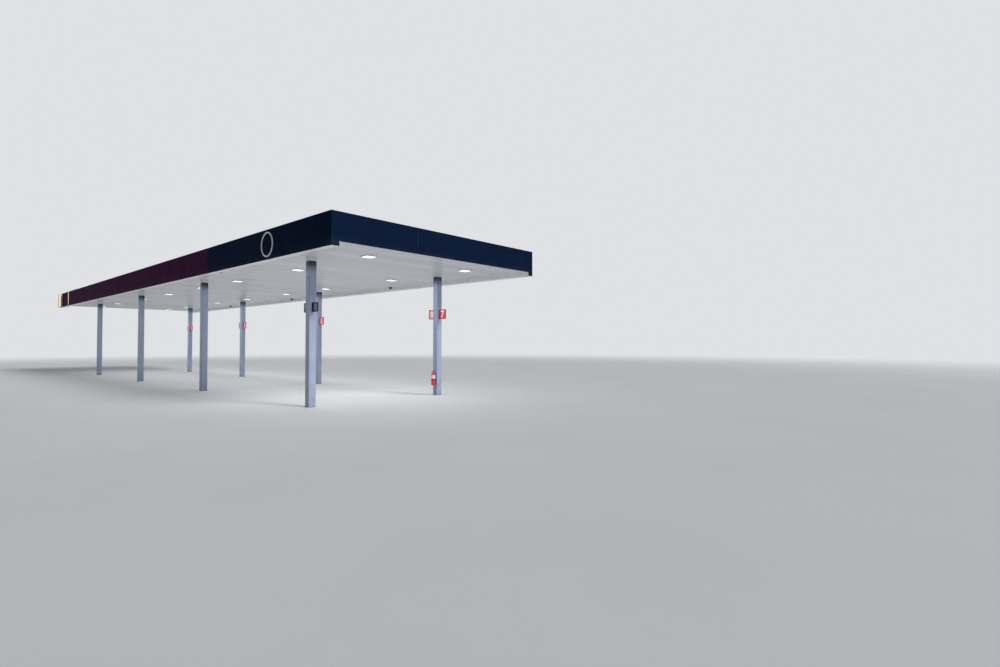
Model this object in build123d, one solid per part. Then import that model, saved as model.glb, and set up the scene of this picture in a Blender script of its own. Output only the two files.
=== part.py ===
"""Filling station canopy: a flat steel roof on two rows of four square columns.

Frame: X runs along the roof towards its near end, Y runs from the front side to the rear side, Z is up.
The origin is on the ground under the centre of the roof. Sizes are in millimetres.
A "station" is a distance from the near end face, and a "depth" is a distance from the front face.
"""

from build123d import *
import math
import os

# Plan of the roof and its columns
bay_length = 8840
bay_count = 3
near_overhang = 2950
far_overhang = 6230
front_overhang = 1070
row_spacing = 5290
rear_overhang = 2210

# Heights above the ground
clearance = 4572
gutter_depth = 140
fascia_height = 933

# Columns: square hollow sections with a welded cap plate
column_size = 240
column_wall = 9.5
column_corner = 19
cap_length = 380
cap_width = 300
cap_thickness = 20
collar_gap = 1.5
collar_sheet = 3
collar_flange = 22

# Steel joists: depth, flange width and thickness, web thickness, and the slope at the web's root
beam_depth = 406
beam_flange = 178
beam_flange_thickness = 12.8
beam_web = 7.7
beam_root = 10
beam_end_setback = 330
stiffener_thickness = 12
purlin_depth = 203
purlin_flange = 133
purlin_flange_thickness = 9
purlin_web = 6.5
purlin_root = 8
purlin_depths = (420, 1550, 3350, 5150, 7020, 8150)

# Deck pans: interlocking trays that are the ceiling and the roof
pan_width_limit = 406.4
pan_rib_height = 76
pan_sheet = 1.5
pan_joint = 3
pan_hook_reach = 8
pan_hook_drop = 10
pan_hook_clearance = 1.5
pan_end_depth = 80
deck_end_margin = 50

# Gutters
gutter_width = 242
gutter_sheet = 3
gutter_flange = 28
gutter_back_rise = 70

# Fascia: folded panels on light steel frames
panel_thickness = 4
panel_return = 50
panel_gap = 4
panel_length_limit = 3660
blue_length = 8430
rail_size = 40
rail_top_drop = 30
rail_bottom_rise = 170
bracket_spacing_limit = 1830
rail_wall = 3
brace_thickness = 8
brace_sink = 2

# Ceiling lamps
lamp_near_end_fraction = 0.51
lamp_far_end_fraction = 0.75
lamp_bay_fractions = ((0.33, 0.91), (0.39, 0.93), (0.46, 1.077))
lamp_row_offset = 2100
lamp_size = 396
lamp_drop = 30
lamp_bevel = 10
lens_size = 364
lens_thickness = 8
lens_proud = 2
neck_size = 80
neck_height = 6
neck_clearance = 4
driver_length = 330
driver_width = 210
driver_height = 62

# Cameras under the deck beside the gutters
camera_bay_fractions = (0.605, 0.695, 0.72)
camera_inset = 420
camera_base_radius = 80
camera_base_height = 34
camera_dome_height = 68
camera_dome_bands = 2

# Pump number flags on the columns
flag_centre_height = 3120
red_flag_width = 340
red_flag_height = 370
black_flag_width = 270
black_flag_height = 300
flag_thickness = 24
flag_rib = 20
flag_rib_height_ratio = 0.6
flag_foot_thickness = 4
flag_foot_width = 60

# Fire extinguisher on the front face of the near rear column
extinguisher_radius = 80
extinguisher_bottom = 390
extinguisher_height = 470
extinguisher_base_bevel = 10
extinguisher_shoulder = 55
extinguisher_neck_radius = 26
extinguisher_neck_height = 40
lever_length = 130
lever_width = 22
lever_thickness = 8
lever_spacing = 30
lever_shift = 30
hanger_thickness = 6
hanger_width = 60
hanger_height = 320

# Lit end sign, accent bars and round emblem on the front fascia
sign_width = 900
sign_depth = 80
sign_margin = 16
sign_corner = 30
accent_inset = 2950
accent_width = 70
accent_depth = 20
accent_margin = 60
top_bar_inset = 8150
top_bar_length = 5050
top_bar_size = 30
emblem_station = 3670
emblem_radius = 390
emblem_band = 45
emblem_depth = 20

# Values worked out from the sizes above
canopy_length = near_overhang + bay_count * bay_length + far_overhang
canopy_width = front_overhang + row_spacing + rear_overhang
soffit_height = clearance + gutter_depth
fascia_top = clearance + fascia_height
purlin_bottom = soffit_height + pan_rib_height
purlin_top = purlin_bottom + purlin_depth
column_stations = [near_overhang + k * bay_length for k in range(bay_count + 1)]
column_depths = {"front": front_overhang, "rear": front_overhang + row_spacing}
deck_run = canopy_length - 2 * deck_end_margin
pan_count = math.ceil(deck_run / pan_width_limit)
pan_module = deck_run / pan_count
lamp_depths = [canopy_width / 2 - lamp_row_offset, canopy_width / 2 + lamp_row_offset]
fascia_back = panel_thickness
rail_back = fascia_back + rail_size
upright_back = rail_back + rail_size
rail_low = soffit_height + rail_bottom_rise
rail_high = fascia_top - rail_top_drop
camera_depths = [camera_inset, canopy_width - camera_inset]

parts = {}


def x_at(station):
    """X of a distance measured from the near end face."""
    return canopy_length / 2 - station


def y_at(depth):
    """Y of a distance measured from the front face."""
    return depth - canopy_width / 2


def block(station_0, station_1, depth_0, depth_1, z_0, z_1):
    """A box between two stations, two depths and two heights."""
    return Pos(
        x_at((station_0 + station_1) / 2), y_at((depth_0 + depth_1) / 2), (z_0 + z_1) / 2
    ) * Box(abs(station_1 - station_0), abs(depth_1 - depth_0), abs(z_1 - z_0))


def joined(shapes):
    """One shape from several that touch or cross."""
    total = shapes[0]
    for shape in shapes[1:]:
        total = total + shape
    return total


def group(shapes):
    """A compound of separate solids for one node."""
    return Compound(children=[solid for shape in shapes for solid in shape.solids()])


def add_pair(name, pieces):
    """The same pieces on the front side and, mirrored, on the rear side."""
    parts[f"{name}_front"] = group(pieces)
    parts[f"{name}_rear"] = group([piece.mirror(Plane.XZ) for piece in pieces])


def joist_profile(depth, flange, flange_thickness, web, root):
    """The I section of a rolled joist, standing on Y = 0 with its web on X = 0."""
    half, web_half = flange / 2, web / 2
    low, high = flange_thickness, depth - flange_thickness
    right = [(half, 0), (half, low), (web_half + root, low), (web_half, low + root)]
    right += [(web_half, high - root), (web_half + root, high), (half, high), (half, depth)]
    left = [(-x, y) for x, y in reversed(right)]
    return make_face(Polyline(*right, *left, close=True))


# Columns


def column(station, depth):
    """A square hollow column from the ground to the underside of a main beam, with its cap plate."""
    shaft_height = purlin_top - cap_thickness
    outer = RectangleRounded(column_size, column_size, column_corner)
    bore = column_size - 2 * column_wall
    shaft = extrude(outer - Rectangle(bore, bore), amount=shaft_height)
    cap = Pos(0, 0, shaft_height + cap_thickness / 2) * Box(cap_width, cap_length, cap_thickness)
    return Pos(x_at(station), y_at(depth), 0) * (shaft + cap)


def add_columns():
    for row, depth in column_depths.items():
        for number, station in enumerate(column_stations, start=1):
            parts[f"column_{row}_{number}"] = column(station, depth)


def add_collars():
    """Square sheet sleeves round the column tops, as deep as the gutters, with a flange under the deck."""
    opening = column_size + 2 * collar_gap
    outside = opening + 2 * collar_sheet
    brim = outside + 2 * collar_flange
    hole = Rectangle(opening, opening)
    skirt = extrude(Rectangle(outside, outside) - hole, amount=-gutter_depth)
    flange = extrude(Rectangle(brim, brim) - hole, amount=-collar_sheet)
    places = [(s, d) for s in column_stations for d in column_depths.values()]
    parts["column_collars"] = group(
        [Pos(x_at(s), y_at(d), soffit_height) * (skirt + flange) for s, d in places]
    )


# Steelwork above the deck


def add_main_beams():
    """One cross beam on each pair of columns, with web stiffeners over the cap plates."""
    length = canopy_width - 2 * beam_end_setback
    section = joist_profile(
        beam_depth, beam_flange, beam_flange_thickness, beam_web, beam_root
    )
    bar = extrude(Plane.XZ * section, amount=length / 2, both=True)
    clear_height = beam_depth - 2 * beam_flange_thickness
    stiffener = Box(beam_flange, stiffener_thickness, clear_height)
    offset = cap_length / 2 - stiffener_thickness
    rows = [d + side * offset for d in column_depths.values() for side in (-1, 1)]
    bar = joined([bar] + [Pos(0, y_at(d), beam_depth / 2) * stiffener for d in rows])
    parts["main_beams"] = group([Pos(x_at(s), 0, purlin_top) * bar for s in column_stations])


def add_purlins():
    """Long joists bolted under the main beams: the deck pans hang from them."""
    section = joist_profile(
        purlin_depth, purlin_flange, purlin_flange_thickness, purlin_web, purlin_root
    )
    bar = extrude(Plane.YZ * section, amount=canopy_length / 2 - upright_back, both=True)
    parts["purlins"] = group([Pos(0, y_at(depth), purlin_bottom) * bar for depth in purlin_depths])


# Deck


def pan_profile():
    """The folded section of one pan: a flat, a plain leg, and a hooked leg over the next pan's plain leg."""
    t, rise = pan_sheet, pan_rib_height
    right = pan_module - pan_joint
    reach = pan_module + t + pan_hook_reach
    plain = rise - t - pan_hook_clearance
    outline = [(0, 0), (right, 0), (right, rise - t), (reach - t, rise - t)]
    outline += [(reach - t, rise - pan_hook_drop), (reach, rise - pan_hook_drop), (reach, rise)]
    outline += [(right - t, rise), (right - t, t), (t, t), (t, plain), (0, plain)]
    return make_face(Polyline(*outline, close=True))


def pan_station(index):
    """Station of the middle of a pan's flat."""
    return deck_end_margin + (index + 0.5) * pan_module


def nearest_pan(station):
    return round((station - deck_end_margin) / pan_module - 0.5)


def bay_station(bay, fraction):
    """Station of a point a fraction of the way along a bay, counted from the near end."""
    return column_stations[bay] + fraction * bay_length


def lamp_places():
    """Pan and depth of each lamp: in the overhangs and twice in each bay, clear of the columns."""
    stations = [near_overhang * lamp_near_end_fraction]
    for bay in range(bay_count):
        fractions = lamp_bay_fractions[bay % len(lamp_bay_fractions)]
        stations += [bay_station(bay, fraction) for fraction in fractions]
    stations.append(canopy_length - far_overhang * (1 - lamp_far_end_fraction))
    return [(nearest_pan(s), d) for s in stations for d in lamp_depths]


def add_deck():
    """The pans, in one node for each stretch between main beams, cut for columns and lamp necks."""
    length = canopy_width - 2 * pan_end_depth
    plain = extrude(Plane.XZ * pan_profile(), amount=length / 2, both=True)
    plain = plain.mirror(Plane.YZ)
    half_hole = column_size / 2 + collar_gap
    rib_zone = (soffit_height - pan_sheet, purlin_bottom + pan_sheet)
    columns = {}
    for s in column_stations:
        touched = {nearest_pan(s - half_hole), nearest_pan(s), nearest_pan(s + half_hole)}
        for d in column_depths.values():
            hole = block(s - half_hole, s + half_hole, d - half_hole, d + half_hole, *rib_zone)
            for index in touched:
                columns.setdefault(index, []).append(hole)
    neck_hole = neck_size + 2 * neck_clearance
    necks = {}
    for index, d in lamp_places():
        neck = Box(neck_hole, neck_hole, neck_height)
        hole = Pos(x_at(pan_station(index)), y_at(d), soffit_height) * neck
        necks.setdefault(index, []).append(hole)
    stretches = [[] for _ in range(len(column_stations) + 1)]
    for index in range(pan_count):
        start = x_at(deck_end_margin + index * pan_module)
        pan = Pos(start, 0, soffit_height) * plain
        for hole in columns.get(index, []) + necks.get(index, []):
            pan = pan - hole
        stretch = sum(pan_station(index) > s for s in column_stations)
        stretches[stretch].append(pan)
    for number, pans in enumerate(stretches, start=1):
        parts[f"deck_pans_{number}"] = group(pans)


# Gutters


def gutter_profile():
    """The trough in section: X runs inwards from the fascia panel, Y is height above the ground."""
    t, back = gutter_sheet, panel_thickness
    floor = clearance + panel_thickness
    brim = soffit_height - t
    rim = soffit_height + gutter_back_rise
    outline = [(back, floor), (gutter_width, floor), (gutter_width, brim)]
    outline += [(gutter_width + gutter_flange, brim), (gutter_width + gutter_flange, soffit_height)]
    outline += [(gutter_width - t, soffit_height), (gutter_width - t, floor + t)]
    outline += [(back + t, floor + t), (back + t, rim), (back, rim)]
    return make_face(Polyline(*outline, close=True))


def add_gutters():
    """A trough along each long side, under the ends of the pans, with closed ends."""
    inset = panel_thickness
    half = canopy_length / 2 - inset
    t = gutter_sheet
    trough = extrude(Plane.YZ * gutter_profile(), amount=half, both=True)
    floor = clearance + panel_thickness
    stops = [
        block(s, s + t, panel_thickness, gutter_width, floor, soffit_height - t)
        for s in (inset, canopy_length - inset - t)
    ]
    add_pair("gutter", [joined([Pos(0, y_at(0), 0) * trough] + stops)])


# Fascia


def folded_panel(start, end, z_bottom, foot=0):
    """A panel with a top return, and a foot if one is asked for: face at Y = 0, between two distances along X."""
    t = panel_thickness
    outline = [(0, z_bottom)]
    if foot:
        outline += [(foot, z_bottom), (foot, z_bottom + t), (t, z_bottom + t)]
    else:
        outline += [(t, z_bottom)]
    outline += [(t, fascia_top - t), (panel_return, fascia_top - t)]
    outline += [(panel_return, fascia_top), (0, fascia_top)]
    section = make_face(Polyline(*outline, close=True))
    length = end - start
    return Pos(start, 0, 0) * extrude(Plane.YZ * section, amount=length)


def corner_piece():
    """The corner of the roof: a full height panel on the end face that hides the gutter's end."""
    t, reach, gap = panel_thickness, gutter_width, panel_gap / 2
    wall = block(0, t, 0, reach, clearance, fascia_top)
    top = block(0, panel_return, panel_return + gap, reach, fascia_top - t, fascia_top)
    return joined([wall, top])


def side_stretch(start, end):
    """Equal panels with fine joints between two stations of the front side, clear of the corner pieces."""
    start, end = max(start, panel_thickness), min(end, canopy_length - panel_thickness)
    count = math.ceil((end - start) / panel_length_limit)
    module = (end - start) / count
    panels = []
    for k in range(count):
        low, high = start + k * module + panel_gap / 2, start + (k + 1) * module - panel_gap / 2
        panel = folded_panel(x_at(high), x_at(low), clearance)
        panels.append(Pos(0, y_at(0), 0) * panel)
    return panels


def add_side_fascias():
    """Two colours along each long side: blue at the near end, then maroon."""
    corner = corner_piece()
    blue = side_stretch(0, blue_length)
    maroon = side_stretch(blue_length, canopy_length)
    add_pair("fascia_blue", blue + [corner])
    add_pair("fascia_maroon", maroon + [corner.mirror(Plane.YZ)])


def end_stretch():
    """The near end's panels: shorter than the sides by the gutter's depth, between the corner pieces."""
    low, high = gutter_width + panel_gap / 2, canopy_width - gutter_width - panel_gap / 2
    count = math.ceil((high - low) / panel_length_limit)
    module = (high - low) / count
    panels = []
    for k in range(count):
        start = low + k * module + (panel_gap / 2 if k else 0)
        end = low + (k + 1) * module - (panel_gap / 2 if k < count - 1 else 0)
        panel = folded_panel(start, end, soffit_height, deck_end_margin - pan_joint)
        turned = Rot(0, 0, 90) * panel
        panels.append(Pos(x_at(0), y_at(0), 0) * turned)
    return panels


def add_end_fascias():
    near = end_stretch()
    parts["fascia_near_end"] = group(near)
    parts["fascia_far_end"] = group([p.mirror(Plane.YZ) for p in near])


def bracket_stations():
    """Stations of the fascia brackets: even in each bay, and never over a column line."""
    per_bay = math.ceil(bay_length / bracket_spacing_limit)
    pitch = bay_length / per_bay
    room = upright_back + rail_size
    first = near_overhang - pitch * (int((near_overhang - room) / pitch - 0.5) + 0.5)
    count = int((canopy_length - room - first) / pitch) + 1
    return [first + k * pitch for k in range(count)]


def bracket():
    """An upright with an outrigger that sits on the edge purlin, and a flat brace between them."""
    half = rail_size / 2
    anchor = purlin_depths[0] + purlin_flange / 2
    seat = purlin_top + rail_size
    upright = block(-half, half, rail_back, upright_back, rail_low, rail_high)
    outrigger = block(-half, half, upright_back, anchor, purlin_top, seat)
    near, head = upright_back - brace_sink, rail_high - rail_size
    far, foot = anchor - rail_size, seat - brace_sink
    outline = [(near, head), (near, head - rail_size), (far - rail_size, foot), (far, foot)]
    flat = make_face(Polyline(*outline, close=True))
    brace = extrude(Plane.YZ * flat, amount=brace_thickness / 2, both=True)
    return joined([upright, outrigger, Pos(x_at(0), y_at(0), 0) * brace])


def add_side_frames():
    """Two rails behind a long fascia, and the brackets that carry them on the edge purlin."""
    start, end = rail_back, canopy_length - rail_back
    heights = (rail_low, rail_high - rail_size)
    rails = []
    for z in heights:
        bar = block(start, end, fascia_back, rail_back, z, z + rail_size)
        near, far = fascia_back + rail_wall, rail_back - rail_wall
        bore = block(start, end, near, far, z + rail_wall, z + rail_size - rail_wall)
        rails.append(bar - bore)
    arm = bracket()
    add_pair("fascia_rails", rails)
    add_pair("fascia_brackets", [Pos(-s, 0, 0) * arm for s in bracket_stations()])


def add_end_frames():
    """Rails behind an end fascia, welded to uprights that are bolted to the purlin ends."""
    half = rail_size / 2
    heights = (rail_low, rail_high - rail_size)
    start, end = fascia_back, canopy_width - fascia_back
    members = [block(fascia_back, rail_back, start, end, z, z + rail_size) for z in heights]
    for d in purlin_depths:
        members.append(block(rail_back, upright_back, d - half, d + half, rail_low, rail_high))
    frame = joined(members)
    parts["fascia_frame_near_end"] = frame
    parts["fascia_frame_far_end"] = frame.mirror(Plane.YZ)


# Lamps


def lamp_housing():
    """A bevelled square body under the pan, a neck through it, and a driver box on top."""
    outer = Pos(0, 0, -lamp_drop / 2) * Box(lamp_size, lamp_size, lamp_drop)
    outer = chamfer(outer.faces().sort_by(Axis.Z)[0].edges(), lamp_bevel)
    pocket_depth = lens_thickness - lens_proud
    pocket = Pos(0, 0, pocket_depth / 2 - lamp_drop) * Box(lens_size, lens_size, pocket_depth)
    neck = Box(neck_size, neck_size, neck_height)
    driver = Box(driver_length, driver_width, driver_height)
    driver = Pos(0, 0, pan_sheet + driver_height / 2) * driver
    return outer - pocket + neck + driver


def add_lamps():
    housing = lamp_housing()
    lens = Box(lens_size, lens_size, lens_thickness)
    lens = Pos(0, 0, lens_thickness / 2 - lens_proud - lamp_drop) * lens
    places = [Pos(x_at(pan_station(i)), y_at(d), soffit_height) for i, d in lamp_places()]
    parts["lamp_housings"] = group([place * housing for place in places])
    parts["lamp_lenses"] = group([place * lens for place in places])


# Cameras


def dome_camera():
    """A round base under the pan with a dome below it, turned in one profile."""
    profile = [(0, 0), (camera_base_radius, 0)]
    for band in range(camera_dome_bands):
        angle = math.radians(90 * band / camera_dome_bands)
        depth = camera_base_height + camera_dome_height * math.sin(angle)
        profile.append((camera_base_radius * math.cos(angle), -depth))
    profile.append((0, -camera_base_height - camera_dome_height))
    return revolve(Plane.XZ * make_face(Polyline(*profile, close=True)), axis=Axis.Z)


def add_cameras():
    """Small dome cameras in the bays, beside each gutter."""
    camera = dome_camera()
    cameras = []
    for bay in range(bay_count):
        fraction = camera_bay_fractions[bay % len(camera_bay_fractions)]
        x = x_at(pan_station(nearest_pan(bay_station(bay, fraction))))
        cameras += [Pos(x, y_at(d), soffit_height) * camera for d in camera_depths]
    parts["dome_cameras"] = group(cameras)


# Column furniture


def flag(width, height):
    """A number box that stands out from a column face towards +X, on a flat foot."""
    foot = Box(flag_foot_thickness, flag_foot_width, height)
    foot = Pos(flag_foot_thickness / 2, 0, 0) * foot
    rib = Box(flag_rib, 2 * flag_foot_thickness, height * flag_rib_height_ratio)
    rib = Pos(flag_rib / 2, 0, 0) * rib
    panel = Box(width, flag_thickness, height)
    panel = Pos(flag_rib + width / 2, 0, 0) * panel
    return foot + rib + panel


def flag_pair(station, depth, width, height):
    """A flag on each side of one column."""
    one = Pos(column_size / 2, 0, 0) * flag(width, height)
    place = Pos(x_at(station), y_at(depth), flag_centre_height)
    return [place * one, place * one.mirror(Plane.YZ)]


def add_flags():
    red = []
    for s in column_stations:
        red += flag_pair(s, column_depths["rear"], red_flag_width, red_flag_height)
    parts["number_flags_red"] = group(red)
    black = flag_pair(
        column_stations[0], column_depths["front"], black_flag_width, black_flag_height
    )
    parts["number_flags_black"] = group(black)


def extinguisher():
    """A cylinder with a sloped shoulder and a neck, turned in one profile, and two levers."""
    r, top = extinguisher_radius, extinguisher_height
    neck, crown = extinguisher_neck_radius, extinguisher_height + extinguisher_neck_height
    profile = [(0, 0), (r - extinguisher_base_bevel, 0), (r, extinguisher_base_bevel)]
    profile += [(r, top - extinguisher_shoulder), (neck, top), (neck, crown), (0, crown)]
    body = revolve(Plane.XZ * make_face(Polyline(*profile, close=True)), axis=Axis.Z)
    lever = Box(lever_length, lever_width, lever_thickness)
    low = crown - lever_thickness / 2
    levers = [Pos(-lever_shift, 0, low + z) * lever for z in (0, lever_spacing)]
    link = Box(lever_shift, lever_width - lever_thickness, lever_spacing)
    return joined([body] + levers + [Pos(0, 0, low + lever_spacing / 2) * link])


def add_extinguisher():
    """The extinguisher hangs on a flat plate on the column's front face."""
    face = column_depths["rear"] - column_size / 2
    x, stand_off = x_at(column_stations[0]), hanger_thickness + extinguisher_radius
    place = Pos(x, y_at(face - stand_off), extinguisher_bottom)
    parts["fire_extinguisher"] = place * extinguisher()
    plate = Box(hanger_width, hanger_thickness, hanger_height)
    middle = extinguisher_bottom + extinguisher_height / 2
    place = Pos(x, y_at(face - hanger_thickness / 2), middle)
    parts["extinguisher_hanger"] = place * plate


# Sign, accents and emblem


def add_front_marks():
    """The lit box at the far end, an upright bar beside it, a bar along the top, and a plain ring."""
    middle = clearance + fascia_height / 2
    height = fascia_height - 2 * sign_margin
    far = canopy_length
    box = block(far - sign_width, far, -sign_depth, 0, middle - height / 2, middle + height / 2)
    parts["end_sign_box"] = fillet(box.edges().filter_by(Axis.Y), sign_corner)
    bar_half = fascia_height / 2 - accent_margin
    low = far - accent_inset - accent_width / 2
    high = low + accent_width
    parts["accent_bar"] = block(low, high, -accent_depth, 0, middle - bar_half, middle + bar_half)
    start = far - top_bar_inset
    end = start + top_bar_length
    top = fascia_top
    parts["top_light_bar"] = block(start, end, 0, top_bar_size, top, top + top_bar_size)
    ring = Circle(emblem_radius) - Circle(emblem_radius - emblem_band)
    ring = extrude(Plane.XZ * ring, amount=emblem_depth)
    parts["fascia_ring"] = Pos(x_at(emblem_station), y_at(0), middle) * ring


def main():
    add_columns()
    add_collars()
    add_main_beams()
    add_purlins()
    add_deck()
    add_gutters()
    add_side_fascias()
    add_end_fascias()
    add_side_frames()
    add_end_frames()
    add_lamps()
    add_cameras()
    add_flags()
    add_extinguisher()
    add_front_marks()
    os.makedirs("parts", exist_ok=True)
    for name, shape in parts.items():
        export_step(shape, f"parts/{name}.step")


main()
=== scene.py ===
"""Looks of a filling station canopy: finishes, fastenings, lamps and signs in detail, a studio and a camera.

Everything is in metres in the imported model's frame: X along the roof, Y from the front side to the rear, Z up.
A "solid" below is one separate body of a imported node, and its box gives the places of the small pieces on it.
"""

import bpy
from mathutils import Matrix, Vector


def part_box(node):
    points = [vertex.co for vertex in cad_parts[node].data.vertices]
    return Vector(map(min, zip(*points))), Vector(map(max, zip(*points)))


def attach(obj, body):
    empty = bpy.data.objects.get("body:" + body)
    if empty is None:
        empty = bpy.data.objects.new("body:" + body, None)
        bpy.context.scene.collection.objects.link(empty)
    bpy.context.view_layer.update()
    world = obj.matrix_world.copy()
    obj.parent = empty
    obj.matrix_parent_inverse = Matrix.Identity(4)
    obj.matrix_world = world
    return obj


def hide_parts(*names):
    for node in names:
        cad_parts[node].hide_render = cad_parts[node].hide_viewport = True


bl_info = {
    "name": "Filling station canopy looks",
    "version": (1, 0, 0),
    "blender": (4, 5, 0),
    "location": "View3D > Sidebar > Canopy",
    "description": "Finishes and small pieces on the packed canopy, with a studio and a camera",
    "category": "Object",
}

import math

import bpy
import numpy as np

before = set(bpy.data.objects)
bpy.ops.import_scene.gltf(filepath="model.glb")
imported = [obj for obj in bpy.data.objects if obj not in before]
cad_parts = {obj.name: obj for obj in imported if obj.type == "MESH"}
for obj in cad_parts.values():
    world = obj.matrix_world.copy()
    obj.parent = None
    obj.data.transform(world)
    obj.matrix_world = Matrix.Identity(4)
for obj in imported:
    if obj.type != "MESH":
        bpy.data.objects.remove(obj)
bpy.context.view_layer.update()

X, Y, Z = np.eye(3)


# Colours and nodes


def linear(code):
    """Linear colour with alpha from an sRGB hex code."""
    s = np.array([int(code[i:i + 2], 16) for i in (0, 2, 4)]) / 255
    values = np.where(s <= 0.04045, s / 12.92, ((s + 0.055) / 1.055) ** 2.4)
    return (*[float(v) for v in values], 1.0)


def add(tree, kind, inputs=None, **settings):
    """Adds one node with its settings and its inputs, each a constant or the socket that is linked to it."""
    made = tree.nodes.new(kind)
    for key, value in settings.items():
        setattr(made, key, value)
    for key, value in (inputs or {}).items():
        if isinstance(value, bpy.types.NodeSocket):
            tree.links.new(value, made.inputs[key])
        else:
            made.inputs[key].default_value = value
    return made


# Settings


def length_setting(name, description, default):
    return bpy.props.FloatProperty(name=name, description=description, default=default, min=0.0005, unit="LENGTH")


def colour_setting(name, description, code):
    return bpy.props.FloatVectorProperty(
        name=name, description=description, default=linear(code), size=4, min=0, max=1, subtype="COLOR"
    )


class CanopyColours(bpy.types.PropertyGroup):
    """Main colour of each finish."""

    column: colour_setting("Columns", "Pale blue-grey enamel of the columns", "99a6c1")
    white: colour_setting("White coat", "White of the deck, collars and lamp bodies", "dcdfe3")
    primer: colour_setting("Primer", "Grey shop primer of the rolled joists", "6c6e70")
    zinc: colour_setting("Zinc", "Hot-dip zinc on tubes and fastenings", "a4a8ab")
    blue: colour_setting("Blue fascia", "Navy of the near part of the fascia", "0e1c34")
    maroon: colour_setting("Maroon fascia", "Dark maroon of the far part of the fascia", "3d1839")
    flag: colour_setting("Flag red", "Pinkish red of the number flags", "e4405f")
    red: colour_setting("Red", "Red of the extinguisher", "df2844")
    black: colour_setting("Black", "Black of the framed flags and small brackets", "121316")
    lamp: colour_setting("Lamp light", "Cool white light of the ceiling lamps", "f4f8ff")
    amber: colour_setting("Amber light", "Light of the upright bar beside the sign", "e8b27a")


class CanopyDetails(bpy.types.PropertyGroup):
    """Sizes of the small pieces."""

    bolt: length_setting("Bolt", "Diameter of the bolts in the steelwork", 0.020)
    screw: length_setting("Screw", "Diameter of the self-drilling screws in the sheets", 0.0055)
    bead: length_setting("Bead", "Width of a weld or sealant bead", 0.010)
    column_size: length_setting("Column", "Side of the square columns", 0.240)
    column_corner: length_setting("Column corner", "Outside corner radius of the columns", 0.019)
    clip_width: length_setting("Clip width", "Width of a deck clip along the roof", 0.030)
    lap_width: length_setting("Lap width", "Width of a gutter lap strap", 0.080)
    lap_spacing: length_setting("Lap spacing", "Most length of gutter between two laps", 3.66)
    conduit: length_setting("Conduit", "Outside diameter of the lamp conduit", 0.027)
    flag_frame: length_setting("Flag frame", "Width of the frame round a number flag", 0.016)
    digit_height: length_setting("Digit height", "Height of the digits on the flags", 0.262)


class CanopyStage(bpy.types.PropertyGroup):
    """Camera and studio floor."""

    eye: bpy.props.FloatVectorProperty(
        name="Eye", description="Place of the camera", default=(30.38, -11.76, 1.952), size=3, subtype="TRANSLATION"
    )
    heading: bpy.props.FloatProperty(
        name="Heading", description="Turn of the view from +Y towards -X", default=math.atan2(0.6622, 0.7489),
        subtype="ANGLE",
    )
    rise: bpy.props.FloatProperty(
        name="Rise", description="Upward tilt of the view", default=math.asin(0.0208), subtype="ANGLE"
    )
    lens: bpy.props.FloatProperty(name="Lens", description="Focal length in mm on a 36 mm frame", default=19.115)
    floor_radius: length_setting("Floor radius", "Radius of the studio floor", 90.0)


# Meshes


def swept(outline, origins, us, vs, closed=False):
    """A surface of two parameters: point (i, j) is origin i plus outline point j in the plane of u i and v i.

    An open sweep has a flat cap at each end. The outline is turned so that faces look outwards.
    """
    outline, origins, us, vs = (np.asarray(a, float) for a in (outline, origins, us, vs))
    nxt = np.roll(outline, -1, axis=0)
    area = (outline[:, 0] * nxt[:, 1] - outline[:, 1] * nxt[:, 0]).sum()
    if area * np.dot(np.cross(us[0], vs[0]), origins[1 if closed else -1] - origins[0]) < 0:
        outline = outline[::-1]
    grid = origins[:, None] + outline[None, :, :1] * us[:, None] + outline[None, :, 1:] * vs[:, None]
    n, m = grid.shape[:2]
    i, j = np.meshgrid(np.arange(n if closed else n - 1), np.arange(m), indexing="ij")
    here, there, step = i * m, (i + 1) % n * m, (j + 1) % m
    faces = np.stack([here + j, here + step, there + step, there + j], -1).reshape(-1, 4).tolist()
    if not closed:
        faces += [list(range(m))[::-1], list(range((n - 1) * m, n * m))]
    return grid.reshape(-1, 3), faces


def bar(outline, start, end, u, v):
    """A straight sweep of an outline from start to end, with u and v as the outline's two directions."""
    return swept(outline, [start, end], [u, u], [v, v])


def ring(outline, path, us, v):
    """A closed sweep of an outline along a path whose v direction is the same all the way round."""
    return swept(outline, path, us, np.tile(v, (len(path), 1)), closed=True)


def plate(low, high):
    """A flat piece between two corners: a rectangle swept up from its foot."""
    (x0, y0, z0), (x1, y1, z1) = low, high
    return bar([(x0, y0), (x1, y0), (x1, y1), (x0, y1)], (0, 0, z0), (0, 0, z1), X, Y)


def turned(profile, sides):
    """A profile of (radius, height) turned about Z: a circle swept up, with radius i at height i."""
    angle = 2 * np.pi * np.arange(sides) / sides
    r, z = np.array(profile, float).T[:, :, None]
    return swept(np.stack([np.cos(angle), np.sin(angle)], -1), z * Z, r * X, r * Y)


def merged(shapes):
    """One mesh from several."""
    points, faces, start = [], [], 0
    for p, f in shapes:
        points.append(p)
        faces += [[start + k for k in face] for face in f]
        start += len(p)
    return np.concatenate(points), faces


def repeated(shape, places):
    """The shape repeated unturned: each copy is place plus shape."""
    points, faces = shape
    places = np.asarray(places, float).reshape(-1, 3)
    every = (places[:, None] + points[None]).reshape(-1, 3)
    return every, [[k * len(points) + c for c in face] for k in range(len(places)) for face in faces]


def copies(shape, places, axis=Z):
    """The shape repeated with its own Z along an axis."""
    w = np.asarray(axis, float)
    u = np.cross(w, X if abs(w[0]) < 0.9 else Y)
    u /= np.linalg.norm(u)
    return repeated((shape[0] @ np.array([u, np.cross(w, u), w]), shape[1]), places)


def arc(radius, centre, start, end, count):
    """Points on an arc in degrees, as (u, v) pairs."""
    a = np.radians(np.linspace(start, end, count))
    return np.stack([centre[0] + radius * np.cos(a), centre[1] + radius * np.sin(a)], -1)


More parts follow.
